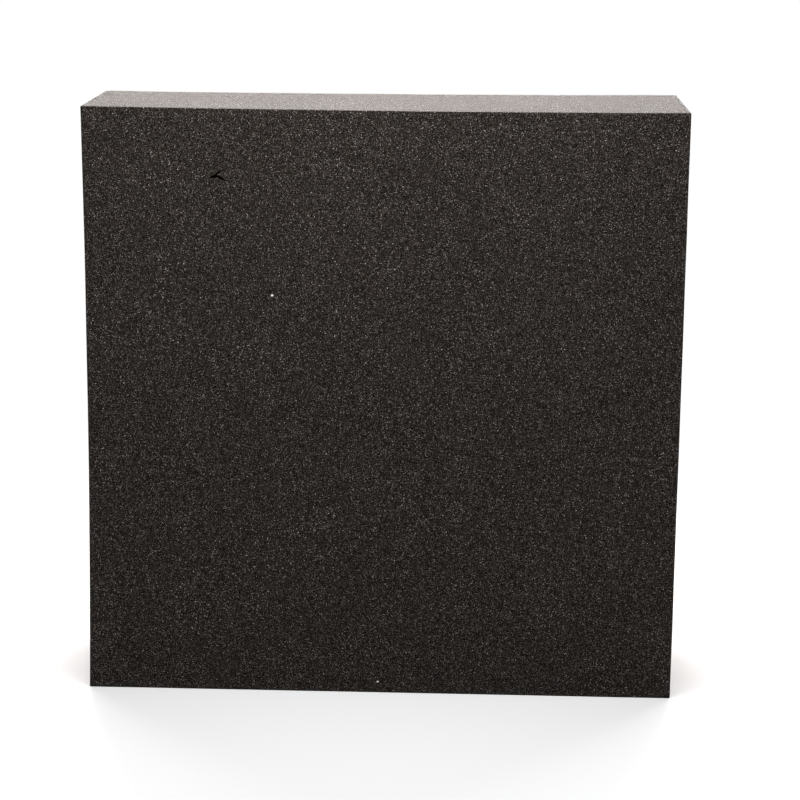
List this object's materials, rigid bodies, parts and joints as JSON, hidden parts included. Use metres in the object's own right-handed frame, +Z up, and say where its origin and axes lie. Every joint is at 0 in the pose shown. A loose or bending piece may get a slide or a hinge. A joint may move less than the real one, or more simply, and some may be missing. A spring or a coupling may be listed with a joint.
{
  "type": "foam cushion",
  "caption": "Square block of charcoal open-cell foam, cut on every side and uncovered, used as a seat or packing cushion",
  "frame": {"origin": "middle of the narrow side that the block stands on", "axes": "+Z up, +X along the width to the right, +Y through the thickness from the torn front face to the back"},
  "size_m": [0.4, 0.12, 0.4017],
  "materials": {
    "charcoal_foam": "open-cell polyurethane foam, sawn, matt, with cut cells that catch the light"
  },
  "bodies": {
    "root": {"foam_block": "charcoal_foam"}
  },
  "joints": []
}
